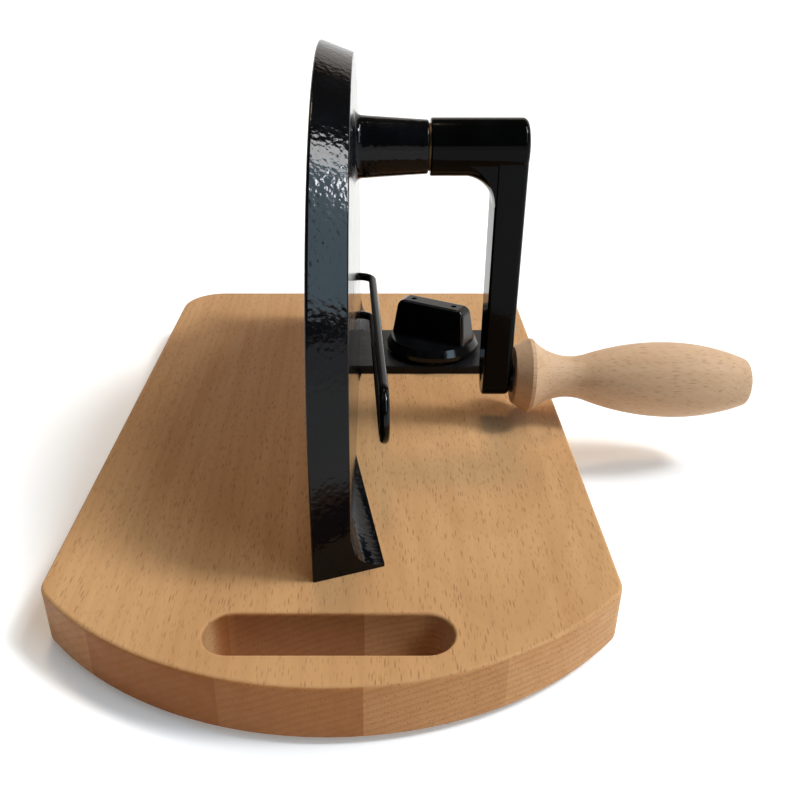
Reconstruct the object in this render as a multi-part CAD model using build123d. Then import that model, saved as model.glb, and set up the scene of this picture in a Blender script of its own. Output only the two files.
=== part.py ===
from build123d import *
import os
from math import atan2, cos, degrees, pi, radians, sin, sqrt, tan

# Hand cranked bread slicer: board, upright frame, sickle knife, crank and thickness stop.
# Millimetres. +X points to the crank, +Y away from the hand slot, +Z up.
# The origin lies on the board's underside, straight below the axis of the crank shaft.

# Board
board_width = 240.0
board_ahead = 196.5  # from the shaft's plane to the tip of the rounded near end
board_behind = 188.5  # from the shaft's plane to the square far end
board_thickness = 26.0
near_end_radius = 162.0
near_corner_radius = 12.0
far_corner_radius = 26.0
board_edge_round = 1.6
slot_length = 96.8
slot_width = 21.8
slot_setback = 16.7  # wood between the hand slot and the near tip
slot_edge_round = 1.4
counterbore_depth = 10.0
foot_radius = 9.0
foot_height = 3.0
foot_taper = 1.0
foot_inset = 28.0  # from the board's side to a foot's centre
near_foot_setback = 66.0  # from the near tip to the near feet
far_foot_setback = 28.0  # from the far end to the far feet
foot_screw_radius = 1.5
foot_screw_length = 11.0
foot_screw_head_radius = 3.4
foot_screw_head_height = 1.2

# Frame, a drafted casting
frame_thickness = 16.0
frame_half_length = 140.0
frame_spring_height = 54.0  # straight sides below the half round top
frame_draft = 20.0
frame_edge_round = 1.0
frame_small_round = 0.8
web_thickness = 4.0
rim_width = 9.0
sill_height = 8.0
pocket_corner = 6.0
rib_count = 5
rib_thickness = 4.0
rib_height = 7.0
spur_width = 13.8
spur_length = 87.0
spur_lip = 1.5
spur_round = 14.0
frame_screw_radius = 3.0
frame_screw_length = 24.0
frame_screw_head_radius = 5.5
frame_screw_head_height = 4.0
frame_washer_radius = 6.5
frame_washer_thickness = 1.6
frame_screw_rows = (-118.0, -38.0, 38.0, 118.0)

# Shaft and its bearings
shaft_height = 146.8  # above the board
shaft_radius = 6.0
bush_wall = 2.5
bush_length = 16.0
bush_flange_rim = 3.0
bush_flange_thickness = 1.5
inner_boss_radius = 15.0
outer_boss_length = 34.9
outer_boss_root_radius = 14.7
outer_boss_end_radius = 12.45
outer_boss_fillet = 4.0
thrust_washer_radius = 11.0
thrust_washer_thickness = 0.8

# Knife
knife_gap = 2.0  # between the frame's left face and the knife
knife_thickness = 1.5
knife_reach = 150.0
knife_heel = 34.0
knife_bevel = 8.0
knife_edge_thickness = 0.3
knife_hub_radius = 26.0
knife_back_lead = 20.0  # the hollow back's centre lies this far beyond the edge circle's centre
knife_back_lift = 40.0
knife_back_radius = 88.0
knife_tip_round = 2.5
tooth_pitch = 8.2
tooth_depth = 1.3
tooth_round = 5.0
knife_flange_radius = 20.0
knife_flange_thickness = 4.2
knife_spigot_radius = 5.0
knife_screw_count = 3
knife_screw_circle = 13.0
knife_screw_radius = 2.0
knife_screw_head_radius = 3.6
knife_screw_head_height = 1.2
groove_width = 3.5
groove_depth_spare = 2.0  # below the knife's lowest reach

# Crank
crank_hub_length = 46.0
crank_hub_radius = 13.4
crank_end_wall = 4.0
arm_thickness = 15.0
arm_end_radius = 10.5
arm_outer_round = 2.8
arm_inner_round = 1.5
arm_shoulder = 1.2  # step from the hub's side in to the arm's
arm_gusset = 15.0
arm_gusset_inset = 0.4  # step from the arm's side in to the gusset's
arm_gusset_sink = 0.15  # depth in the hub at which the gusset's curve begins
crank_throw = 120.8
set_screw_radius = 3.0
set_screw_offset = 16.0
set_screw_depth = 1.0
set_screw_socket_radius = 1.5
set_screw_socket_depth = 2.0
grip_seat_radius = 8.5
grip_seat_height = 1.0

# Grip, turned on an axis that leans a little, as photographed
grip_lean = 2.0
grip_length = 126.0
grip_start_radius = 15.1
grip_rim_radius = 20.0
grip_rim_place = 7.6
grip_neck_radius = 11.05
grip_neck_curve = 28.0
grip_bulb_radius = 20.3
grip_bulb_place = 84.5
grip_bulb_curve = 137.0  # towards the neck
grip_tail_curve = 112.0  # from the bulb to the end
grip_end_round = 2.5
grip_bolt_radius = 4.0
grip_bolt_head_radius = 6.5
grip_bolt_head_height = 5.5
grip_bolt_socket_radius = 3.0
grip_bolt_socket_depth = 3.5
grip_counterbore_radius = 7.8
grip_counterbore_depth = 11.0
grip_washer_radius = 9.5
grip_washer_thickness = 0.8
grip_washer_bore_gap = 0.1

# Thickness stop
stop_thickness = 2.5
stop_travel = 10.0
stop_knife_gap = 0.9  # left between stop and knife at the thinnest slice
stop_rim_gap = 13.0  # between the stop's ends and the frame's rim
stop_head_gap = 6.8  # between the stop's top and the knife's flange
stop_sill_gap = 0.6
stop_corner = 8.0
stop_groove_count = 5
stop_groove_width = 3.0
stop_groove_depth = 0.4
stop_screw_radius = 1.25
stop_screw_length = 10.0
stop_screw_head_radius = 1.8
stop_screw_head_height = 1.2
stop_screw_spacing = 28.0
bar_width = 55.0
bar_thickness = 5.0
bar_offset = 80.4  # from the shaft's plane to the bar's centre line
bar_reach = 90.0  # right of the frame at the thinnest slice
bar_corner = 5.0
bar_edge = 0.6
wire_radius = 2.25
wire_offset = 67.0  # from the shaft's plane to the legs
wire_low = 32.9  # lower leg above the board
wire_spread = 24.5
wire_stand_off = 7.9
wire_splay = 2.3
wire_near_end = 88.0  # loop's near end ahead of the shaft's plane
wire_bend = 7.6
wire_end_bend = 12.0
wire_tail_radius = 1.5
guide_bush_radius = 4.0

# Adjuster knob and its scroll
knob_reach = 45.9  # right of the frame's right face to the knob's axis
knob_radius = 28.5
knob_skirt_height = 8.0
knob_height = 29.3
knob_fin_length = 44.0  # at its top, as is the width
knob_fin_width = 12.0
knob_fin_foot = 3.0  # its foot's height inside the skirt
knob_fin_draft = 7.0
knob_fin_angle = -29.5
knob_fin_shoulder = 5.0
knob_fin_round = 2.0
knob_dimple_radius = 1.7
knob_dimple_depth = 0.8
knob_dimple_spacing = 27.0
knob_turn_degrees = 270.0
knob_lower_bevel = 1.5
knob_upper_bevel = 2.5
knob_crown = 1.0  # rise of the skirt's top towards the middle
spindle_radius = 4.0
spindle_head_radius = 6.5
spindle_head_height = 4.0
spindle_head_level = 8.0
spindle_end_gap = 1.0
spindle_bush_wall = 2.0
spindle_flange_radius = 9.0
spindle_flange_thickness = 1.5
spindle_washer_radius = 9.0
spindle_washer_thickness = 1.6
nut_across_flats = 13.0
nut_height = 4.5
knob_counterbore_radius = 11.0
ring_outer_radius = 25.5
ring_inner_radius = 22.8
ring_thickness = 0.8
pin_radius = 1.9
pin_start = 9.5  # from the spindle's axis at the thinnest slice
scroll_depth = 2.6
scroll_side_gap = 0.15

# Clearances
running_gap = 0.05
thread_gap = 0.02
slide_gap = 0.25
end_play = 0.3
bar_side_gap = 0.6

# Places that follow from the sizes
board_top = board_thickness
shaft_z = board_top + shaft_height
left_face = -frame_thickness / 2
right_face = frame_thickness / 2
web_left = right_face - web_thickness
knife_right = left_face - knife_gap
knife_left = knife_right - knife_thickness
bush_radius = shaft_radius + running_gap + bush_wall
inner_boss_end = knife_right + knife_flange_thickness + end_play + bush_flange_thickness
outer_boss_end = right_face + outer_boss_length
crank_start = outer_boss_end + thrust_washer_thickness + end_play / 2
crank_end = crank_start + crank_hub_length
arm_left = crank_end - arm_thickness
grip_z = shaft_z - crank_throw
grip_axis = Pos(crank_end, 0, grip_z) * Rot(0, grip_lean, 0)
grip_start = grip_seat_height + grip_washer_thickness + end_play
stop_left = knife_right + stop_knife_gap
stop_right = stop_left + stop_thickness
bar_low = board_top + slide_gap
bar_high = bar_low + bar_thickness
bar_end = right_face + bar_reach
knob_x = right_face + knob_reach
knob_low = bar_high + slide_gap + ring_thickness
foot_places = [
    (side * (board_width / 2 - foot_inset), y)
    for side in (-1, 1)
    for y in (near_foot_setback - board_ahead, board_behind - far_foot_setback)
]

BASE = (Align.CENTER, Align.CENTER, Align.MIN)


def post(radius, low, high, x=0.0, y=0.0):
    """Upright round bar between two heights."""
    return Pos(x, y, low) * Cylinder(radius, high - low, align=BASE)


def rod(radius, left, right, y=0.0, z=0.0):
    """Round bar along X."""
    return Pos(left, y, z) * Rot(0, 90, 0) * Cylinder(radius, right - left, align=BASE)


def block(x, y, z):
    """Box from three (low, high) pairs."""
    centre = [(low + high) / 2 for low, high in (x, y, z)]
    return Pos(*centre) * Box(x[1] - x[0], y[1] - y[0], z[1] - z[0])


def turned(*points, axis=Axis.X):
    """Solid turned about an axis from the corners of its half section."""
    plane = Plane.XY if axis == Axis.X else Plane.XZ
    return revolve(plane * make_face(Polyline(*points, close=True)), axis)


def joined(shapes):
    """One group of separate or touching solids."""
    total = shapes[0]
    for shape in shapes[1:]:
        total += shape
    return total


# Board and feet


def board_outline():
    half = board_width / 2
    shoulder = near_end_radius - sqrt(near_end_radius**2 - half**2) - board_ahead
    sides = [
        ThreePointArc((-half, shoulder), (0, -board_ahead), (half, shoulder)),
        Line((half, shoulder), (half, board_behind)),
        Line((half, board_behind), (-half, board_behind)),
        Line((-half, board_behind), (-half, shoulder)),
    ]
    outline = make_face(sides)
    corners = outline.vertices().sort_by(Axis.Y)
    outline = fillet(corners[:2], near_corner_radius)
    return fillet(outline.vertices().sort_by(Axis.Y)[-2:], far_corner_radius)


def cutting_board():
    board = extrude(board_outline(), board_thickness, dir=(0, 0, 1))
    board = fillet(board.faces().filter_by(Axis.Z).edges(), board_edge_round)
    slot_y = slot_setback + slot_width / 2 - board_ahead
    hand_slot = Pos(0, slot_y, 0) * SlotOverall(slot_length, slot_width)
    board -= extrude(hand_slot, board_thickness, dir=(0, 0, 1))
    mouths = [face.inner_wires()[0].edges() for face in board.faces().filter_by(Axis.Z)]
    board = fillet(mouths[0] + mouths[1], slot_edge_round)
    for y in frame_screw_rows:
        board -= post(frame_washer_radius + 2 * end_play, 0, counterbore_depth, y=y)
        board -= post(frame_screw_radius + end_play, 0, board_thickness, y=y)
    board -= post(knob_counterbore_radius, 0, counterbore_depth, knob_x, bar_offset)
    bush_hole = spindle_radius + running_gap + spindle_bush_wall + thread_gap
    board -= post(bush_hole, 0, board_thickness, knob_x, bar_offset)
    for x, y in foot_places:
        board -= post(foot_screw_radius + thread_gap, 0, foot_screw_length, x, y)
    knife_middle = (knife_left + knife_right) / 2
    groove_radius = knife_reach + groove_depth_spare
    groove = rod(groove_radius, knife_middle - groove_width / 2, knife_middle + groove_width / 2, z=shaft_z)
    return board - groove


def rubber_feet():
    sole = foot_radius - foot_taper
    recess = foot_screw_head_radius + end_play
    seat = foot_screw_head_height - foot_height + end_play
    foot = turned(
        (foot_screw_radius + thread_gap, 0),
        (foot_radius, 0),
        (sole, -foot_height),
        (recess, -foot_height),
        (recess, seat),
        (foot_screw_radius + thread_gap, seat),
        axis=Axis.Z,
    )
    return joined([Pos(x, y, 0) * foot for x, y in foot_places])


def foot_screws():
    seat = foot_screw_head_height - foot_height + end_play
    head = post(foot_screw_head_radius, seat - foot_screw_head_height, seat)
    screw = head + post(foot_screw_radius, seat, foot_screw_length - end_play)
    return joined([Pos(x, y, 0) * screw for x, y in foot_places])


# Frame


def arch(half, low):
    """Outline with straight sides under a half circle, drawn in the frame's YZ plane."""
    spring = board_top + frame_spring_height
    sides = [
        Line((-half, low), (-half, spring)),
        ThreePointArc((-half, spring), (0, spring + half), (half, spring)),
        Line((half, spring), (half, low)),
        Line((half, low), (-half, low)),
    ]
    return make_face(sides)


def drafted_plate(width):
    """Frame's outline drawn towards the crank, smaller by the draft, and cut level with the board."""
    below = board_top - 3 * frame_thickness
    outline = Plane.YZ.offset(left_face) * arch(frame_half_length, below)
    plate = extrude(outline, width, dir=(1, 0, 0), taper=frame_draft)
    plate = fillet(plate.faces().sort_by(Axis.X)[0].edges(), frame_edge_round)
    plate = fillet(plate.faces().sort_by(Axis.X)[-1].edges(), frame_small_round)
    reach = 2 * frame_half_length
    return plate - block((-reach, reach), (-reach, reach), (board_top - reach, board_top))


def foot_spur():
    """Near spur that flares from the right face down to the board, with a hollow flank."""
    outer_y = -frame_half_length + (frame_thickness + spur_width) * tan(radians(frame_draft))
    inner_y = outer_y + spur_length
    lean = spur_width / spur_length
    start_y = -frame_half_length - spur_width
    start_x = right_face + lean * (inner_y - start_y)
    plan = Polyline(
        (web_left, start_y), (start_x, start_y), (right_face, inner_y), (web_left, inner_y), close=True
    )
    spur = extrude(Pos(0, 0, board_top) * make_face(plan), spur_lip + spur_round, dir=(0, 0, 1))
    spur &= drafted_plate(frame_thickness + spur_width + spur_round)
    flank = rod(spur_round, -spur_length, 2 * spur_length)
    heading = degrees(atan2(inner_y - start_y, right_face - start_x))
    return spur - Pos(start_x, start_y, board_top + spur_lip + spur_round) * Rot(0, 0, heading) * flank


def outer_boss():
    """Tapered boss for the shaft, with a fillet at its root."""
    margin = outer_boss_root_radius + 2 * outer_boss_fillet
    corners = [
        (web_left, 0),
        (web_left, margin),
        (right_face, margin),
        (right_face, outer_boss_root_radius),
        (outer_boss_end, outer_boss_end_radius),
        (outer_boss_end, 0),
    ]
    section = make_face(Polyline(*corners, close=True))
    root = section.vertices().sort_by_distance(corners[3])[0]
    section = fillet(root, outer_boss_fillet)
    nose = section.vertices().sort_by_distance(corners[4])[0]
    section = fillet(nose, frame_small_round)
    return Pos(0, 0, shaft_z) * revolve(section, Axis.X)


def frame_ribs():
    """Stiffening ribs that fan out above the inner boss, in the recess."""
    rib = block((web_left - rib_height, web_left), (-rib_thickness / 2, rib_thickness / 2), (0, frame_half_length))
    step = 180 / (rib_count - 1)
    return joined([Pos(0, 0, shaft_z) * Rot(90 - step * i, 0, 0) * rib for i in range(rib_count)])


def frame_casting():
    solid_plate = drafted_plate(frame_thickness)
    outline = arch(frame_half_length - rim_width, board_top + sill_height)
    outline = fillet(outline.vertices().group_by(Axis.Y)[0], pocket_corner)
    pocket = extrude(Plane.YZ.offset(left_face) * outline, web_left - left_face, dir=(1, 0, 0))
    frame = solid_plate - pocket
    frame += frame_ribs() & solid_plate
    frame += rod(inner_boss_radius, inner_boss_end, right_face, z=shaft_z)
    frame += outer_boss()
    spur = foot_spur()
    frame += spur + mirror(spur, Plane.XZ)
    frame -= rod(bush_radius + thread_gap, left_face, crank_end, z=shaft_z)
    notch_y = (bar_offset - bar_width / 2 - bar_side_gap, bar_offset + bar_width / 2 + bar_side_gap)
    frame -= block((left_face - 1, web_left), notch_y, (board_top, board_top + sill_height))
    frame -= block((left_face, crank_end), notch_y, (board_top, bar_high + slide_gap))
    for z in wire_heights():
        frame -= rod(guide_bush_radius + thread_gap, web_left, right_face, wire_offset, z)
    for y in frame_screw_rows:
        frame -= post(frame_screw_radius + thread_gap, board_top, board_top + sill_height, y=y)
    return frame


def frame_screw_seat():
    return counterbore_depth - frame_washer_thickness


def frame_screws():
    seat = frame_screw_seat()
    screw = post(frame_screw_head_radius, seat - frame_screw_head_height, seat)
    screw += post(frame_screw_radius, seat, seat + frame_screw_length)
    return joined([Pos(0, y, 0) * screw for y in frame_screw_rows])


def frame_washers():
    seat = frame_screw_seat()
    washer = post(frame_washer_radius, seat, counterbore_depth)
    washer -= post(frame_screw_radius + end_play, seat, counterbore_depth)
    return joined([Pos(0, y, 0) * washer for y in frame_screw_rows])


def wire_heights():
    low = board_top + wire_low
    return low, low + wire_spread


def guide_bushes():
    bushes = []
    for z in wire_heights():
        bush = rod(guide_bush_radius, web_left, right_face, wire_offset, z)
        bushes.append(bush - rod(wire_radius + running_gap, web_left, right_face, wire_offset, z))
    return joined(bushes)


def spindle_bush():
    radius = spindle_radius + running_gap + spindle_bush_wall
    bush = post(radius, counterbore_depth, board_top, knob_x, bar_offset)
    flange_low = counterbore_depth - spindle_flange_thickness
    bush += post(spindle_flange_radius, flange_low, counterbore_depth, knob_x, bar_offset)
    return bush - post(spindle_radius + running_gap, flange_low, board_top, knob_x, bar_offset)


# Shaft and bearings


def shaft_bush_left():
    bush = rod(bush_radius, inner_boss_end, inner_boss_end + bush_length, z=shaft_z)
    flange_left = inner_boss_end - bush_flange_thickness
    bush += rod(bush_radius + bush_flange_rim, flange_left, inner_boss_end, z=shaft_z)
    return bush - rod(shaft_radius + running_gap, flange_left, inner_boss_end + bush_length, z=shaft_z)


def shaft_bush_right():
    bush = rod(bush_radius, outer_boss_end - bush_length, outer_boss_end, z=shaft_z)
    return bush - rod(shaft_radius + running_gap, outer_boss_end - bush_length, outer_boss_end, z=shaft_z)


def thrust_washer():
    left = crank_start - thrust_washer_thickness
    washer = rod(thrust_washer_radius, left, crank_start, z=shaft_z)
    return washer - rod(shaft_radius + running_gap, left, crank_start, z=shaft_z)


def knife_screw_places():
    """Screw places round the shaft as (y, z)."""
    turns = [2 * pi * i / knife_screw_count for i in range(knife_screw_count)]
    return [(knife_screw_circle * cos(t), shaft_z + knife_screw_circle * sin(t)) for t in turns]


def knife_shaft():
    shaft = rod(shaft_radius, knife_right, crank_end - crank_end_wall - end_play, z=shaft_z)
    flange_right = knife_right + knife_flange_thickness
    shaft += rod(knife_flange_radius, knife_right, flange_right, z=shaft_z)
    shaft += rod(knife_spigot_radius, knife_left, knife_right, z=shaft_z)
    for y, z in knife_screw_places():
        shaft -= rod(knife_screw_radius + thread_gap, knife_right, flange_right, y, z)
    return shaft


# Knife


def knife_outline():
    """Sickle outline about the shaft: eccentric edge circle, hollow back, round hub."""
    edge_radius = (knife_reach + knife_heel) / 2
    edge_centre = (knife_reach - knife_heel) / 2
    back_centre = (edge_centre + knife_back_lead, knife_back_lift)
    sickle = Pos(edge_centre, 0) * Circle(edge_radius)
    sickle -= Pos(*back_centre) * Circle(knife_back_radius)
    sickle -= Pos(edge_centre, edge_radius) * Rectangle(4 * edge_radius, 2 * edge_radius)
    tip = sickle.vertices().sort_by(Axis.X)[-1]
    return fillet(tip, knife_tip_round) + Circle(knife_hub_radius)


def knife_bevel_disc(edge_radius):
    """Disc whose rim thins to the cutting edge, ground on the side away from the frame."""
    return turned(
        (knife_right, 0),
        (knife_right, edge_radius),
        (knife_right - knife_edge_thickness, edge_radius),
        (knife_left, edge_radius - knife_bevel),
        (knife_left, 0),
    )


def knife_teeth(edge_radius, edge_y):
    """Round gullets along the cutting half of the edge circle."""
    pitch_turn = tooth_pitch / edge_radius
    count = int(pi / pitch_turn) - 2
    centre_radius = edge_radius + tooth_round - tooth_depth
    gullets = []
    for i in range(count):
        turn = pi + pitch_turn * (i + 1)
        y = edge_y + centre_radius * cos(turn)
        z = shaft_z + centre_radius * sin(turn)
        gullets.append(rod(tooth_round, knife_left - 1, knife_right + 1, y, z))
    return gullets


def knife():
    edge_radius = (knife_reach + knife_heel) / 2
    edge_y = (knife_reach - knife_heel) / 2
    outline = Plane.YZ.offset(knife_left) * Pos(0, shaft_z) * knife_outline()
    blade = extrude(outline, knife_thickness, dir=(1, 0, 0))
    blade &= Pos(0, edge_y, shaft_z) * knife_bevel_disc(edge_radius)
    blade -= knife_teeth(edge_radius, edge_y)
    blade -= rod(knife_spigot_radius + thread_gap, knife_left, knife_right, z=shaft_z)
    for y, z in knife_screw_places():
        blade -= rod(knife_screw_radius + end_play / 2, knife_left, knife_right, y, z)
    return blade


def knife_screws():
    screws = []
    for y, z in knife_screw_places():
        head = rod(knife_screw_head_radius, knife_left - knife_screw_head_height, knife_left, y, z)
        shank = rod(knife_screw_radius, knife_left, knife_right + knife_flange_thickness - end_play, y, z)
        screws.append(head + shank)
    return joined(screws)


# Crank


def arm_prism(inset, left, right):
    """Arm's outline, narrower towards the grip, as a prism between two places along X."""
    top = Circle(crank_hub_radius - arm_shoulder - inset)
    end = Pos(0, -crank_throw) * Circle(arm_end_radius - inset)
    outline = Plane.YZ.offset(left) * Pos(0, shaft_z) * make_hull(top.edges() + end.edges())
    return extrude(outline, right - left, dir=(1, 0, 0))


def arm_blade():
    blade = arm_prism(0, arm_left, crank_end)
    blade = fillet(blade.faces().sort_by(Axis.X)[-1].edges(), arm_outer_round)
    return fillet(blade.faces().sort_by(Axis.X)[0].edges(), arm_inner_round)


def arm_gusset_flare():
    """Hollow flare round the hub that carries it into the arm, no wider than the arm."""
    start = crank_hub_radius - arm_gusset_sink
    left = arm_left - arm_gusset
    right = arm_left + arm_inner_round
    section = [
        RadiusArc((left, start), (arm_left, start + arm_gusset), -arm_gusset),
        Line((arm_left, start + arm_gusset), (right, start + arm_gusset)),
        Line((right, start + arm_gusset), (right, 0)),
        Line((right, 0), (left, 0)),
        Line((left, 0), (left, start)),
    ]
    flare = Pos(0, 0, shaft_z) * revolve(make_face(section), Axis.X)
    return flare & arm_prism(arm_gusset_inset, left, right)


def crank_arm():
    hub = rod(crank_hub_radius, crank_start, crank_end, z=shaft_z)
    hub = fillet(hub.faces().sort_by(Axis.X)[0].edges(), frame_small_round)
    hub = fillet(hub.faces().sort_by(Axis.X)[-1].edges(), arm_outer_round)
    crank = arm_blade() + hub + arm_gusset_flare()
    crank += grip_axis * rod(grip_seat_radius, -arm_outer_round, grip_seat_height)
    crank -= rod(shaft_radius + thread_gap, crank_start, crank_end - crank_end_wall, z=shaft_z)
    crank -= grip_axis * rod(grip_bolt_radius + thread_gap, -2 * arm_thickness, grip_seat_height)
    screw_x = crank_start + set_screw_offset
    return crank - post(set_screw_radius + thread_gap, shaft_z - crank_hub_radius, shaft_z, screw_x)


def crank_set_screw():
    screw_x = crank_start + set_screw_offset
    low = shaft_z - crank_hub_radius + set_screw_depth
    screw = post(set_screw_radius, low, shaft_z - shaft_radius, screw_x)
    socket = Pos(screw_x, 0, low) * RegularPolygon(set_screw_socket_radius, 6)
    return screw - extrude(socket, set_screw_socket_depth, dir=(0, 0, 1))


# Grip, drawn along X from the arm's outer face and then leaned


def drop(reach, curve):
    """How far a round of radius curve falls at a distance from its crest."""
    return curve - sqrt(curve**2 - reach**2)


def grip():
    start = grip_start
    end = start + grip_length
    bulb = start + grip_bulb_place
    both_curves = grip_neck_curve + grip_bulb_curve
    neck_to_bulb = sqrt(both_curves**2 - (both_curves - grip_bulb_radius + grip_neck_radius) ** 2)
    neck = bulb - neck_to_bulb
    meeting = neck + neck_to_bulb * grip_neck_curve / both_curves
    meeting_radius = grip_neck_radius + drop(meeting - neck, grip_neck_curve)
    rim_rise = grip_neck_curve + grip_neck_radius - grip_rim_radius
    land = neck - sqrt(grip_neck_curve**2 - rim_rise**2)
    end_radius = grip_bulb_radius - drop(end - bulb, grip_tail_curve)
    bore = grip_bolt_radius + running_gap
    curves = [
        RadiusArc((land, grip_rim_radius), (meeting, meeting_radius), -grip_neck_curve),
        RadiusArc((meeting, meeting_radius), (bulb, grip_bulb_radius), grip_bulb_curve),
        RadiusArc((bulb, grip_bulb_radius), (end, end_radius), grip_tail_curve),
    ]
    rest = Polyline(
        (end, end_radius),
        (end, grip_counterbore_radius),
        (end - grip_counterbore_depth, grip_counterbore_radius),
        (end - grip_counterbore_depth, bore),
        (start, bore),
        (start, grip_start_radius),
        (start + grip_rim_place, grip_rim_radius),
        (land, grip_rim_radius),
    )
    section = make_face(curves + rest.edges())
    section = fillet(section.vertices().sort_by_distance((end, end_radius))[0], grip_end_round)
    return grip_axis * revolve(section, Axis.X)


def grip_bolt_seat():
    """Place of the bolt head's underside along the grip's axis."""
    return grip_start + grip_length - grip_counterbore_depth + end_play + grip_washer_thickness


def grip_bolt():
    seat = grip_bolt_seat()
    bolt = rod(grip_bolt_radius, grip_seat_height - arm_thickness, seat)
    head = rod(grip_bolt_head_radius, seat, seat + grip_bolt_head_height)
    socket_left = seat + grip_bolt_head_height - grip_bolt_socket_depth
    socket = Plane.YZ.offset(socket_left) * RegularPolygon(grip_bolt_socket_radius, 6)
    return grip_axis * (bolt + head - extrude(socket, grip_bolt_socket_depth, dir=(1, 0, 0)))


def washer_on_grip_axis(left):
    washer = rod(grip_washer_radius, left, left + grip_washer_thickness)
    bore = rod(grip_bolt_radius + grip_washer_bore_gap, left, left + grip_washer_thickness)
    return grip_axis * (washer - bore)


def grip_washer():
    return washer_on_grip_axis(grip_seat_height)


def grip_end_washer():
    left = grip_bolt_seat() - grip_washer_thickness
    washer = rod(grip_bolt_head_radius + end_play, left, left + grip_washer_thickness)
    bore = rod(grip_bolt_radius + grip_washer_bore_gap, left, left + grip_washer_thickness)
    return grip_axis * (washer - bore)


# Thickness stop


def stop_screw_places():
    return [bar_offset + side * stop_screw_spacing / 2 for side in (-1, 1)]


def stop_plate():
    low = board_top + sill_height + stop_sill_gap
    high = shaft_z - knife_flange_radius - stop_head_gap
    outline = arch(frame_half_length - rim_width - stop_rim_gap, low)
    outline &= Pos(0, (low + high) / 2) * Rectangle(3 * frame_half_length, high - low)
    rows = outline.vertices().group_by(Axis.Y)
    outline = fillet(rows[0] + rows[-1], stop_corner)
    plate = extrude(Plane.YZ.offset(stop_left) * outline, stop_thickness, dir=(1, 0, 0))
    middle = (bar_low + bar_high) / 2
    tab_y = (bar_offset - bar_width / 2, bar_offset + bar_width / 2)
    plate += block((stop_left, stop_right), tab_y, (bar_low + slide_gap, low + stop_corner))
    for i in range(stop_groove_count):
        z = low + (i + 1) * (high - low) / (stop_groove_count + 1)
        groove_y = (-frame_half_length / 2, frame_half_length / 2)
        groove_z = (z - stop_groove_width / 2, z + stop_groove_width / 2)
        plate -= block((stop_left, stop_left + stop_groove_depth), groove_y, groove_z)
    for y in stop_screw_places():
        plate -= rod(stop_screw_radius + thread_gap, stop_left, stop_right, y, middle)
        plate -= rod(stop_screw_head_radius + thread_gap, stop_left, stop_left + stop_screw_head_height, y, middle)
    for z in wire_heights():
        plate -= rod(wire_tail_radius + thread_gap, stop_left, stop_right, wire_offset, z)
    return plate


def stop_screws():
    middle = (bar_low + bar_high) / 2
    seat = stop_left + stop_screw_head_height
    screws = []
    for y in stop_screw_places():
        shank = rod(stop_screw_radius, seat, stop_left + stop_screw_length, y, middle)
        screws.append(shank + rod(stop_screw_head_radius, stop_left, seat, y, middle))
    return joined(screws)


def slide_bar():
    side = bar_width / 2
    bar = block((stop_right, bar_end), (bar_offset - side, bar_offset + side), (bar_low, bar_high))
    ends = bar.edges().filter_by(Axis.Z).group_by(Axis.X)[-1]
    bar = fillet(ends, bar_corner)
    bar = chamfer(bar.faces().sort_by(Axis.Z)[-1].edges().group_by(Axis.X)[-1], bar_edge)
    slot_half = spindle_radius + slide_gap
    slot = post(slot_half, bar_low, bar_high, knob_x, bar_offset)
    slot += post(slot_half, bar_low, bar_high, knob_x - stop_travel, bar_offset)
    slot_y = (bar_offset - slot_half, bar_offset + slot_half)
    slot += block((knob_x - stop_travel, knob_x), slot_y, (bar_low, bar_high))
    bar -= slot
    bar -= post(pin_radius + thread_gap, bar_low, bar_high, knob_x + pin_start, bar_offset)
    middle = (bar_low + bar_high) / 2
    for y in stop_screw_places():
        bar -= rod(stop_screw_radius + thread_gap, stop_right, stop_left + stop_screw_length, y, middle)
    return bar


def follower_pin():
    top = knob_low + scroll_depth - end_play
    return post(pin_radius, bar_low, top, knob_x + pin_start, bar_offset)


def guide_wire():
    low, high = wire_heights()
    bend_x = right_face + wire_stand_off
    loop_x = bend_x + (wire_offset + wire_near_end) * tan(radians(wire_splay))
    route = FilletPolyline(
        (stop_right, wire_offset, high),
        (bend_x, wire_offset, high),
        (loop_x, -wire_near_end, high),
        (loop_x, -wire_near_end, low),
        (bend_x, wire_offset, low),
        (stop_right, wire_offset, low),
        radius=[wire_bend, wire_end_bend, wire_end_bend, wire_bend],
    )
    start = Plane(origin=(stop_right, wire_offset, high), z_dir=(1, 0, 0))
    wire = sweep(start * Circle(wire_radius), path=route)
    for z in (low, high):
        wire += rod(wire_tail_radius, stop_left, stop_right, wire_offset, z)
    return wire


# Adjuster knob, drawn about Z from its underside and then placed


def scroll_groove():
    """Spiral slot under the knob that drives the follower pin outward as the knob turns."""
    full_turn = radians(knob_turn_degrees)
    half = pin_radius + scroll_side_gap

    def spiral(offset):
        steps = 12
        turns = [full_turn * i / steps for i in range(steps + 1)]
        radii = [pin_start + stop_travel * i / steps + offset for i in range(steps + 1)]
        return Spline(*[(r * cos(t), r * sin(t)) for r, t in zip(radii, turns)])

    outer = spiral(half)
    inner = spiral(-half)
    band = make_face([outer, inner, Line(outer @ 0, inner @ 0), Line(outer @ 1, inner @ 1)])
    groove = extrude(band, scroll_depth, dir=(0, 0, 1))
    last = pin_start + stop_travel
    groove += post(half, 0, scroll_depth, pin_start, 0)
    groove += post(half, 0, scroll_depth, last * cos(full_turn), last * sin(full_turn))
    return groove


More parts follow.
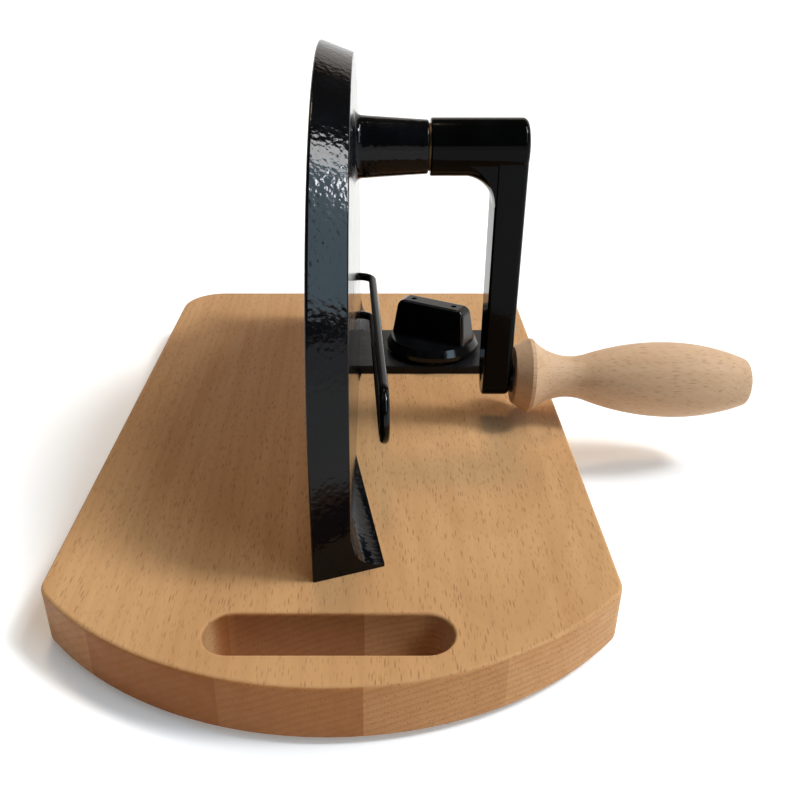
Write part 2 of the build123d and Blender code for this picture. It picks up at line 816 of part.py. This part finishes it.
def knob_fin():
    """Tall bar on top of the knob that fingers turn, with a dimple near each end."""
    height = knob_height - knob_fin_foot
    spread = 2 * height * tan(radians(knob_fin_draft))
    foot = Pos(0, 0, knob_fin_foot) * Rectangle(knob_fin_length + spread, knob_fin_width + spread)
    fin = extrude(foot, height, dir=(0, 0, 1), taper=knob_fin_draft)
    top = fin.faces().sort_by(Axis.Z)[-1]
    fin = fillet(top.edges().filter_by(Axis.Y), knob_fin_shoulder)
    upright = cos(radians(2 * knob_fin_draft))
    long_sides = fin.faces().filter_by(lambda face: abs(face.normal_at().Y) > upright)
    foot_edges = fin.faces().sort_by(Axis.Z)[0].edges()
    fin = fillet(long_sides.edges() - foot_edges, knob_fin_round)
    for side in (-1, 1):
        x = side * knob_dimple_spacing / 2
        fin -= post(knob_dimple_radius, knob_height - knob_dimple_depth, knob_height + 1, x)
    return fin


def adjuster_knob():
    skirt = turned(
        (0, 0),
        (knob_radius - knob_lower_bevel, 0),
        (knob_radius, knob_lower_bevel),
        (knob_radius, knob_skirt_height / 2),
        (knob_radius - knob_upper_bevel, knob_skirt_height),
        (0, knob_skirt_height + knob_crown),
        axis=Axis.Z,
    )
    knob = skirt + Rot(0, 0, knob_fin_angle) * knob_fin()
    knob -= scroll_groove()
    knob -= post(spindle_radius, 0, spindle_head_level)
    knob -= post(spindle_head_radius, spindle_head_level, spindle_head_level + spindle_head_height)
    return Pos(knob_x, bar_offset, knob_low) * knob


def knob_spindle():
    head_low = knob_low + spindle_head_level
    spindle = post(spindle_radius, spindle_end_gap, head_low, knob_x, bar_offset)
    return spindle + post(spindle_head_radius, head_low, head_low + spindle_head_height, knob_x, bar_offset)


def glide_ring():
    low = knob_low - ring_thickness
    ring = post(ring_outer_radius, low, knob_low, knob_x, bar_offset)
    return ring - post(ring_inner_radius, low, knob_low, knob_x, bar_offset)


def spindle_washer_top():
    return counterbore_depth - spindle_flange_thickness - end_play


def spindle_washer():
    top = spindle_washer_top()
    low = top - spindle_washer_thickness
    washer = post(spindle_washer_radius, low, top, knob_x, bar_offset)
    return washer - post(spindle_radius + thread_gap, low, top, knob_x, bar_offset)


def spindle_nut():
    top = spindle_washer_top() - spindle_washer_thickness
    low = top - nut_height
    hexagon = RegularPolygon(nut_across_flats / 2, 6, major_radius=False)
    nut = extrude(Pos(knob_x, bar_offset, low) * hexagon, nut_height, dir=(0, 0, 1))
    return nut - post(spindle_radius + thread_gap, low, top, knob_x, bar_offset)


PIECES = [
    cutting_board,
    rubber_feet,
    foot_screws,
    frame_casting,
    frame_screws,
    frame_washers,
    guide_bushes,
    spindle_bush,
    shaft_bush_left,
    shaft_bush_right,
    thrust_washer,
    knife_shaft,
    knife,
    knife_screws,
    crank_arm,
    crank_set_screw,
    grip,
    grip_bolt,
    grip_washer,
    grip_end_washer,
    stop_plate,
    stop_screws,
    slide_bar,
    follower_pin,
    guide_wire,
    adjuster_knob,
    knob_spindle,
    glide_ring,
    spindle_washer,
    spindle_nut,
]

os.makedirs("parts", exist_ok=True)
for piece in PIECES:
    export_step(piece(), f"parts/{piece.__name__}.step")
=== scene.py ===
"""Looks of the hand cranked bread slicer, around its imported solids. Metres, +Z up."""
import math

import bpy
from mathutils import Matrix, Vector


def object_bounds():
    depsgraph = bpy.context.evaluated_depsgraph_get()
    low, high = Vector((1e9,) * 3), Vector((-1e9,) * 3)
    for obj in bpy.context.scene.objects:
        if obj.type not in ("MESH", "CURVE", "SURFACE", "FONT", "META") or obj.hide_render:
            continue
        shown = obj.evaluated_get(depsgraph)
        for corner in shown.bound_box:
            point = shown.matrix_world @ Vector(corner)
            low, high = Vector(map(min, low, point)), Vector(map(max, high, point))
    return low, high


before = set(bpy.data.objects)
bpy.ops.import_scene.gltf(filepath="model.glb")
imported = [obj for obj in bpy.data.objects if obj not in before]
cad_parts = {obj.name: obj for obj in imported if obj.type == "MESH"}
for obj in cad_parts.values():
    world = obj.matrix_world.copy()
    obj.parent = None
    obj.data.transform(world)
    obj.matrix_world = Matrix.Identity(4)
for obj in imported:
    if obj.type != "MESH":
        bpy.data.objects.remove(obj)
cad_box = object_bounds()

# Camera, solved from the photograph's perspective
CAMERA_PLACE = (0.0182, -0.4171, 0.2610)
CAMERA_PITCH = 28.3  # degrees below the horizon
FOCAL_PIXELS = 862.0
IMAGE_PIXELS = 800.0
CENTRE_SHIFT_PIXELS = 24.0  # the photograph was cropped, so its optical centre lies left of its middle
SENSOR_MM = 36.0
CLIP = (0.01, 100.0)

# Wood grain: sizes are given across the grain and along it
STREAK_SCALE = (150.0, 5.0)
CLOUD_SCALE = (22.0, 7.0)
PORE_SCALE = (900.0, 60.0)
STREAK_PART = 0.45  # of the tone, and the clouds give the rest
TONE_RANGE = (0.34, 0.68)
LONG_RAY_CELL = (0.0012, 0.0080)
LONG_RAY_DENSITY = 0.75
SHORT_RAY_CELL = (0.0009, 0.0045)
SHORT_RAY_DENSITY = 0.80
SHORT_RAY_DEPTH = 0.7
SHORT_RAY_SHIFT = (0.31, 0.77, 0.13)
RAY_REACH = 0.40  # of a cell
PITH_PLACE = (0.075, -0.16)  # X and Z of the rings' centre line where Y is 0
PITH_TILT = (0.03, 0.05)
RING_SPACING = 0.0031
RING_WANDER = 0.006
WOOD_SPECULAR = 0.12

# Board's staves, from one glue joint to the next along X
STAVE_WIDTH = 0.054
STAVE_JOINT = 0.0136
STAVE_STEP = 1.1  # makes the staves' tones drift from dark on the left to light on the right; on the faces this is stave tone, and on the end grain it is also painted shade on the left and painted light on the right
STAVE_PHASE = 0.5
STAVE_DARK = (0.95, 0.93, 0.90)
STAVE_LIGHT = (1.03, 1.02, 1.01)
# End grain is darker and redder than the faces, with painted shade on the left end grain and painted light
# on the right end grain
END_GRAIN_DARK_AND_PAINTED_SHADE = (0.62, 0.38, 0.22)
END_GRAIN_PALE_AND_PAINTED_LIGHT = (1.08, 0.96, 0.87)
END_GRAIN_FACING = (0.45, 0.9)  # how far a surface faces along the board
END_GRAIN_RINGS = 3.0  # times as strong as on the faces

# Paint and metal
ORANGE_PEEL = 420.0
BRUSH_SCALE = (4000.0, 30.0)  # across the grinding lines and along them

# Floor, and the pale band above the horizon, as far as the camera sees it
FLOOR_HALF = 9.0
FLOOR_Z = cad_box[0][2]
FLOOR_DARK = (0.955, 0.955, 0.955)
FLOOR_LIGHT = (0.985, 0.985, 0.985)
FLOOR_LIFT = 0.18  # makes the lit floor white to the camera, over its shadows
HAZE_HEIGHT = (0.18, 0.30)
WHITE = (1.0, 1.0, 1.0)

# Lamps: where each comes from, what it adds to a level surface, its width in degrees and its colour
DAYLIGHT = (0.99, 1.0, 1.01)
LAMPS = {
    "key": ((0.61, -0.04, 0.79), 0.405, 12.0, DAYLIGHT),
    "high": ((0.45, 0.11, 0.88), 0.15, 11.0, DAYLIGHT),
    "room": ((-0.03, 0.36, 0.93), 0.18, 9.0, (1.0, 0.74, 0.48)),
}

# World: a dim warm room with a low white wall behind the object and a narrow bluish window
AMBIENT_STRENGTH = 0.06
AMBIENT_COLOR = (1.0, 0.74, 0.52)
WALL_STRENGTH = 0.9
WALL_COLOR = (1.0, 0.95, 0.88)
WALL_TOP = (0.46, 0.62)
WALL_SIDE = (0.2, 0.6)
WINDOW_STRENGTH = 5.2
WINDOW_COLOR = (0.62, 0.84, 1.0)
WINDOW_TOWARDS = (0.603, -0.345, 0.718)
WINDOW_ACROSS = (0.783, 0.425, -0.454)
WINDOW_HALF_WIDTH = (0.12, 0.17)
WINDOW_ENDS = (0.86, 0.91)


# Short ways to make node trees


def feed(tree, socket, value):
    """Links the value where it is a socket, and otherwise sets it."""
    if isinstance(value, bpy.types.NodeSocket):
        tree.links.new(value, socket)
    else:
        socket.default_value = value


def node(tree, kind, inputs=None, **settings):
    """New node with its settings; each input is a value or a socket to link."""
    made = tree.nodes.new(kind)
    for name, value in settings.items():
        setattr(made, name, value)
    for name, value in (inputs or {}).items():
        feed(tree, made.inputs[name], value)
    return made


def math_node(tree, operation, *values, clamp=False):
    made = node(tree, "ShaderNodeMath", operation=operation, use_clamp=clamp)
    for socket, value in zip(made.inputs, values):
        feed(tree, socket, value)
    return made.outputs[0]


def ramp(tree, value, low, high, to_low=0.0, to_high=1.0, smooth=True):
    """Maps a value from low..high to to_low..to_high, clamped."""
    return node(tree, "ShaderNodeMapRange", {
        "Value": value, "From Min": low, "From Max": high, "To Min": to_low, "To Max": to_high,
    }, interpolation_type="SMOOTHSTEP" if smooth else "LINEAR").outputs[0]


def mix(tree, factor, first, second, blend="MIX"):
    """Colour mix; each argument is a value or a socket."""
    made = node(tree, "ShaderNodeMix", data_type="RGBA", blend_type=blend)
    feed(tree, made.inputs[0], factor)
    for socket, value in zip((made.inputs[6], made.inputs[7]), (first, second)):
        feed(tree, socket, (*value, 1.0) if isinstance(value, tuple) else value)
    return made.outputs[2]


def mix_value(tree, factor, first, second):
    """Number between first and second by factor."""
    return node(tree, "ShaderNodeMapRange", {"Value": factor, "To Min": first, "To Max": second}).outputs[0]


def dot(tree, vector, direction):
    made = node(tree, "ShaderNodeVectorMath", {0: vector, 1: direction}, operation="DOT_PRODUCT")
    return made.outputs["Value"]


def split(tree, vector):
    """The vector's three numbers."""
    return node(tree, "ShaderNodeSeparateXYZ", {"Vector": vector}).outputs


def own_metres(tree):
    """Coordinates in the object's own metres."""
    return node(tree, "ShaderNodeTexCoord").outputs["Object"]


def place(tree, scale=(1.0, 1.0, 1.0), shift=(0.0, 0.0, 0.0)):
    """The object's own coordinates, scaled and moved."""
    return node(tree, "ShaderNodeMapping", {
        "Vector": own_metres(tree), "Location": shift, "Scale": scale,
    }).outputs[0]


def stretched(along, across_scale, along_scale):
    """Scale that differs along one axis."""
    scale = [across_scale] * 3
    scale[along] = along_scale
    return tuple(scale)


def noise(tree, vector, scale, detail=3.0, roughness=0.55):
    return node(tree, "ShaderNodeTexNoise", {
        "Vector": vector, "Scale": scale, "Detail": detail, "Roughness": roughness,
    }).outputs[0]


def bump(tree, height, strength, distance):
    return node(tree, "ShaderNodeBump", {
        "Height": height, "Strength": strength, "Distance": distance,
    }).outputs[0]


def tinted(color, factor):
    return tuple(factor * channel for channel in color)


def new_material(name, specular=0.5, metallic=0.0):
    material = bpy.data.materials.new(name)
    material.use_nodes = True
    tree = material.node_tree
    shader = tree.nodes["Principled BSDF"]
    shader.inputs["Specular IOR Level"].default_value = specular
    shader.inputs["Metallic"].default_value = metallic
    return material, tree, shader


def connect(tree, shader, color, roughness, normal):
    for name, value in (("Base Color", color), ("Roughness", roughness), ("Normal", normal)):
        tree.links.new(value, shader.inputs[name])


# Wood


def rays(tree, along, cell, density, shift=(0.0, 0.0, 0.0)):
    """Short dark rays of beech, long along one axis: 1 in a ray, 0 outside."""
    across, length = cell
    vector = place(tree, scale=stretched(along, 1.0 / across, 1.0 / length), shift=shift)
    cells = node(tree, "ShaderNodeTexVoronoi", {"Vector": vector, "Scale": 1.0, "Randomness": 1.0})
    chance = node(tree, "ShaderNodeSeparateColor", {"Color": cells.outputs["Color"]})
    reach = ramp(tree, cells.outputs["Distance"], RAY_REACH, RAY_REACH * 0.35)
    chosen = ramp(tree, chance.outputs[0], 1.0 - density, 1.0 - 0.3 * density, smooth=False)
    return math_node(tree, "MULTIPLY", reach, chosen)


def end_grain(tree):
    """1 where the surface faces along the board, 0 where it faces up or sideways."""
    normal = node(tree, "ShaderNodeNewGeometry").outputs["Normal"]
    facing = math_node(tree, "ABSOLUTE", split(tree, normal)["Y"])
    return ramp(tree, facing, *END_GRAIN_FACING)


def growth_rings(tree):
    """Wavy ring lines about a pith that runs nearly along Y; 1 on a late wood line."""
    x, y, z = split(tree, own_metres(tree))
    bend = noise(tree, place(tree, scale=(14.0, 2.6, 14.0)), 1.0, detail=2.0)
    bend = math_node(tree, "MULTIPLY", math_node(tree, "SUBTRACT", bend, 0.5), RING_WANDER)
    pith_x = math_node(tree, "MULTIPLY_ADD", y, PITH_TILT[0], PITH_PLACE[0])
    pith_z = math_node(tree, "MULTIPLY_ADD", y, PITH_TILT[1], PITH_PLACE[1])
    dx = math_node(tree, "SUBTRACT", x, pith_x)
    dz = math_node(tree, "SUBTRACT", z, pith_z)
    radius = math_node(tree, "SQRT", math_node(
        tree, "ADD", math_node(tree, "MULTIPLY", dx, dx), math_node(tree, "MULTIPLY", dz, dz)
    ))
    radius = math_node(tree, "ADD", radius, bend)
    phase = math_node(tree, "FRACT", math_node(tree, "DIVIDE", radius, RING_SPACING))
    rise = ramp(tree, phase, 0.35, 0.92)
    fall = ramp(tree, phase, 0.93, 1.0, 1.0, 0.0)
    return math_node(tree, "MULTIPLY", rise, fall)


def stave_tones_and_painted_light(tree, color, ring_depth):
    """Gives each glued stave its own tone, stronger on the end grain, and the rings' depth there; on the
    end grain the tones drift from dark on the left to pale on the right, which is painted shade and painted
    light over the end grain's own darker tone.
    """
    x = split(tree, own_metres(tree))["X"]
    place_in = math_node(tree, "DIVIDE", math_node(tree, "SUBTRACT", x, STAVE_JOINT), STAVE_WIDTH)
    stave = math_node(tree, "FLOOR", place_in)
    wave = math_node(tree, "SINE", math_node(tree, "MULTIPLY_ADD", stave, STAVE_STEP, STAVE_PHASE))
    lightness = ramp(tree, wave, -1.0, 1.0, smooth=False)
    tint = mix(tree, lightness, STAVE_DARK, STAVE_LIGHT)
    # the end grain's own darker tone, with painted shade on the left staves and painted light on the right
    # staves
    end_tone_and_painted_light = mix(tree, lightness, END_GRAIN_DARK_AND_PAINTED_SHADE, END_GRAIN_PALE_AND_PAINTED_LIGHT)
    ends = end_grain(tree)
    color = mix(tree, 1.0, color, mix(tree, ends, tint, end_tone_and_painted_light), "MULTIPLY")
    return color, mix_value(tree, ends, ring_depth, END_GRAIN_RINGS * ring_depth)


def wood_material(name, light, dark, ray, along, staves, ray_depth, ring_depth):
    """Beech: soft streaks, faint rings, fine dark rays and a silky surface."""
    material, tree, shader = new_material(name, specular=WOOD_SPECULAR)
    streak = noise(tree, place(tree, scale=stretched(along, *STREAK_SCALE)), 1.0, detail=4.0)
    cloud_place = place(tree, scale=stretched(along, *CLOUD_SCALE), shift=(3.1, 1.7, 0.4))
    cloud = noise(tree, cloud_place, 1.0, detail=2.0)
    tone = math_node(tree, "ADD", math_node(tree, "MULTIPLY", streak, STREAK_PART),
                     math_node(tree, "MULTIPLY", cloud, 1.0 - STREAK_PART))
    tone = ramp(tree, tone, *TONE_RANGE, smooth=False)
    color = mix(tree, tone, light, dark)
    if staves:
        color, ring_depth = stave_tones_and_painted_light(tree, color, ring_depth)
    rings = growth_rings(tree)
    color = mix(tree, math_node(tree, "MULTIPLY", rings, ring_depth), color, ray)
    marks = rays(tree, along, LONG_RAY_CELL, LONG_RAY_DENSITY)
    small = rays(tree, along, SHORT_RAY_CELL, SHORT_RAY_DENSITY, SHORT_RAY_SHIFT)
    marks = math_node(tree, "MAXIMUM", marks, math_node(tree, "MULTIPLY", small, SHORT_RAY_DEPTH))
    color = mix(tree, math_node(tree, "MULTIPLY", marks, ray_depth), color, ray)
    roughness = ramp(tree, streak, 0.3, 0.7, 0.44, 0.56)
    pores = noise(tree, place(tree, scale=stretched(along, *PORE_SCALE)), 1.0, detail=2.0)
    height = math_node(tree, "SUBTRACT", pores, marks)
    connect(tree, shader, color, roughness, bump(tree, height, 0.25, 0.0002))
    return material


# Paint, plastic and metal


def hammered_paint(name, color, roughness, cell, depth, specular):
    """Thick stove enamel with the small dimples of a hammered finish."""
    material, tree, shader = new_material(name, specular=specular)
    here = place(tree)
    coarse = noise(tree, here, 1.0 / cell, detail=1.5, roughness=0.5)
    cells = node(tree, "ShaderNodeTexVoronoi", feature="SMOOTH_F1", inputs={
        "Vector": here, "Scale": 0.8 / cell, "Smoothness": 1.0,
    })
    broad = noise(tree, place(tree, shift=(0.2, 0.5, 0.1)), 0.16 / cell, detail=2.0)
    height = math_node(tree, "ADD", coarse, cells.outputs["Distance"])
    shade = mix(tree, ramp(tree, broad, 0.3, 0.7), color, tinted(color, 1.7))
    rough = ramp(tree, broad, 0.3, 0.7, roughness * 0.85, roughness * 1.2)
    connect(tree, shader, shade, rough, bump(tree, height, 1.0, depth))
    return material


def gloss_paint(name, color, roughness, specular=0.5):
    """Smooth enamel with a slight orange peel."""
    material, tree, shader = new_material(name, specular=specular)
    peel = noise(tree, place(tree), ORANGE_PEEL, detail=1.0)
    broad = noise(tree, place(tree, shift=(0.7, 0.2, 0.9)), 60.0, detail=2.0)
    shade = mix(tree, ramp(tree, broad, 0.3, 0.7), color, tinted(color, 1.6))
    rough = ramp(tree, broad, 0.3, 0.7, roughness * 0.8, roughness * 1.25)
    connect(tree, shader, shade, rough, bump(tree, peel, 0.35, 0.0001))
    return material


def brushed_metal(name, color, roughness, along):
    """Metal with fine grinding lines along one axis."""
    material, tree, shader = new_material(name, metallic=1.0)
    lines = noise(tree, place(tree, scale=stretched(along, *BRUSH_SCALE)), 1.0, detail=2.0)
    broad = noise(tree, place(tree), 90.0)
    shade = mix(tree, ramp(tree, lines, 0.3, 0.7), tinted(color, 0.82), color)
    stain = math_node(tree, "MULTIPLY", ramp(tree, broad, 0.4, 0.7), 0.3)
    shade = mix(tree, stain, shade, tinted(color, 0.75))
    rough = ramp(tree, lines, 0.25, 0.75, roughness * 0.75, roughness * 1.3)
    connect(tree, shader, shade, rough, bump(tree, lines, 0.2, 0.00003))
    return material


def moulded(name, color, roughness, grain, depth, specular):
    """Moulded rubber or plastic with a fine grain."""
    material, tree, shader = new_material(name, specular=specular)
    fine = noise(tree, place(tree), 1.0 / grain, detail=2.0)
    broad = noise(tree, place(tree), 70.0, detail=2.0)
    shade = mix(tree, ramp(tree, broad, 0.3, 0.7), color, tinted(color, 1.35))
    rough = ramp(tree, fine, 0.3, 0.7, roughness * 0.85, roughness * 1.15)
    connect(tree, shader, shade, rough, bump(tree, fine, 0.5, depth))
    return material


board_wood = wood_material(
    "oiled_beech", (0.600, 0.350, 0.165), (0.510, 0.280, 0.122), (0.215, 0.085, 0.028),
    along=1, staves=True, ray_depth=0.50, ring_depth=0.07,
)
grip_wood = wood_material(
    "raw_beech", (0.680, 0.460, 0.290), (0.560, 0.345, 0.200), (0.320, 0.155, 0.075),
    along=0, staves=False, ray_depth=0.48, ring_depth=0.06,
)
frame_paint = hammered_paint("hammered_black", (0.0018, 0.0022, 0.0030), 0.09, 0.0020, 0.00010, 0.19)
bar_paint = hammered_paint("hammered_bar_black", (0.0055, 0.0055, 0.0065), 0.32, 0.0012, 0.00008, 0.15)
crank_paint = gloss_paint("gloss_black", (0.0012, 0.0014, 0.0016), 0.10, 0.08)
wire_paint = gloss_paint("wire_black", (0.0016, 0.0018, 0.0020), 0.13, 0.2)
knob_plastic = gloss_paint("knob_black", (0.0022, 0.0024, 0.0028), 0.15, 0.3)
knife_steel = brushed_metal("knife_steel", (0.62, 0.63, 0.64), 0.26, 2)
zinc_steel = brushed_metal("zinc_steel", (0.55, 0.56, 0.57), 0.34, 0)
dark_steel = gloss_paint("blackened_steel", (0.0120, 0.0110, 0.0110), 0.38)
bronze = brushed_metal("sintered_bronze", (0.150, 0.095, 0.048), 0.45, 0)
stop_aluminium = brushed_metal("satin_aluminium", (0.64, 0.65, 0.66), 0.36, 1)
foot_rubber = moulded("foot_rubber", (0.0180, 0.0180, 0.0190), 0.75, 0.0004, 0.00008, 0.3)
nylon = moulded("natural_nylon", (0.62, 0.62, 0.60), 0.5, 0.0005, 0.00004, 0.4)

LOOKS = {
    board_wood: ["cutting_board"],
    grip_wood: ["grip"],
    frame_paint: ["frame_casting"],
    bar_paint: ["slide_bar"],
    crank_paint: ["crank_arm"],
    wire_paint: ["guide_wire"],
    knob_plastic: ["adjuster_knob"],
    knife_steel: ["knife"],
    zinc_steel: [
        "foot_screws", "frame_screws", "frame_washers", "knife_shaft", "knife_screws", "crank_set_screw",
        "grip_bolt", "grip_end_washer", "stop_screws", "follower_pin", "knob_spindle", "spindle_washer",
        "spindle_nut",
    ],
    dark_steel: ["grip_washer"],
    bronze: ["guide_bushes", "spindle_bush", "shaft_bush_left", "shaft_bush_right", "thrust_washer"],
    stop_aluminium: ["stop_plate"],
    foot_rubber: ["rubber_feet"],
    nylon: ["glide_ring"],
}
for look, names in LOOKS.items():
    for name in names:
        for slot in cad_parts[name].material_slots:
            slot.material = look


# Floor, light and camera


def seen(tree):
    """1 for what the camera sees, straight or in a gloss or through glass, and 0 for what lights others."""
    kinds = node(tree, "ShaderNodeLightPath").outputs
    first = math_node(tree, "ADD", kinds["Is Camera Ray"], kinds["Is Glossy Ray"])
    return math_node(tree, "ADD", first, kinds["Is Transmission Ray"], clamp=True)


def floor_material():
    material, tree, shader = new_material("studio_floor", specular=0.0)
    shader.inputs["Roughness"].default_value = 0.9
    mottle = noise(tree, place(tree), 3.0, detail=2.0)
    tree.links.new(mix(tree, mottle, FLOOR_DARK, FLOOR_LIGHT), shader.inputs["Base Color"])
    lift = node(tree, "ShaderNodeEmission", {
        "Strength": math_node(tree, "MULTIPLY", seen(tree), FLOOR_LIFT),
    })
    both = node(tree, "ShaderNodeAddShader", {0: shader.outputs[0], 1: lift.outputs[0]})
    tree.links.new(both.outputs[0], tree.nodes["Material Output"].inputs["Surface"])
    return material


def make_floor():
    mesh = bpy.data.meshes.new("studio_floor")
    signs = ((-1, -1), (1, -1), (1, 1), (-1, 1))
    mesh.from_pydata([(x * FLOOR_HALF, y * FLOOR_HALF, FLOOR_Z) for x, y in signs], [], [(0, 1, 2, 3)])
    mesh.materials.append(floor_material())
    floor = bpy.data.objects.new("studio_floor", mesh)
    bpy.context.scene.collection.objects.link(floor)


def make_sun(name, source, share, angle, color):
    """Soft distant light from a unit direction; share is what it adds to a level white surface."""
    lamp = bpy.data.lights.new(name, "SUN")
    lamp.energy = share * math.pi / source[2]
    lamp.angle = math.radians(angle)
    lamp.color = color
    made = bpy.data.objects.new(name, lamp)
    made.location = source
    made.rotation_euler = (-made.location).to_track_quat("-Z", "Y").to_euler()
    bpy.context.scene.collection.objects.link(made)


def make_world():
    world = bpy.data.worlds.new("studio")
    bpy.context.scene.world = world
    world.use_nodes = True
    tree = world.node_tree
    background = tree.nodes["Background"]
    direction = node(tree, "ShaderNodeTexCoord").outputs["Generated"]
    across = math_node(tree, "ABSOLUTE", dot(tree, direction, WINDOW_ACROSS))
    window = math_node(
        tree, "MULTIPLY", ramp(tree, across, *WINDOW_HALF_WIDTH, 1.0, 0.0),
        ramp(tree, dot(tree, direction, WINDOW_TOWARDS), *WINDOW_ENDS),
    )
    level = split(tree, direction)
    wall = math_node(
        tree, "MULTIPLY", ramp(tree, level["Z"], *WALL_TOP, 1.0, 0.0), ramp(tree, level["Y"], *WALL_SIDE),
    )
    haze = math_node(tree, "MULTIPLY", seen(tree), ramp(tree, level["Z"], *HAZE_HEIGHT, 1.0, 0.0))
    color = mix(tree, wall, AMBIENT_COLOR, WALL_COLOR)
    color = mix(tree, window, color, WINDOW_COLOR)
    color = mix(tree, haze, color, WHITE)
    strength = mix_value(tree, wall, AMBIENT_STRENGTH, WALL_STRENGTH)
    strength = mix_value(tree, window, strength, WINDOW_STRENGTH)
    strength = mix_value(tree, haze, strength, 1.0)
    tree.links.new(color, background.inputs["Color"])
    tree.links.new(strength, background.inputs["Strength"])


def make_camera():
    data = bpy.data.cameras.new("photo_camera")
    data.sensor_width = SENSOR_MM
    data.lens = FOCAL_PIXELS / IMAGE_PIXELS * SENSOR_MM
    data.shift_x = CENTRE_SHIFT_PIXELS / IMAGE_PIXELS
    data.clip_start, data.clip_end = CLIP
    made = bpy.data.objects.new("photo_camera", data)
    made.location = CAMERA_PLACE
    made.rotation_euler = (math.radians(90.0 - CAMERA_PITCH), 0.0, 0.0)
    bpy.context.scene.collection.objects.link(made)
    bpy.context.scene.camera = made


make_floor()
make_world()
for lamp_name, values in LAMPS.items():
    make_sun(lamp_name, *values)
make_camera()
bpy.context.scene.view_settings.view_transform = "Standard"
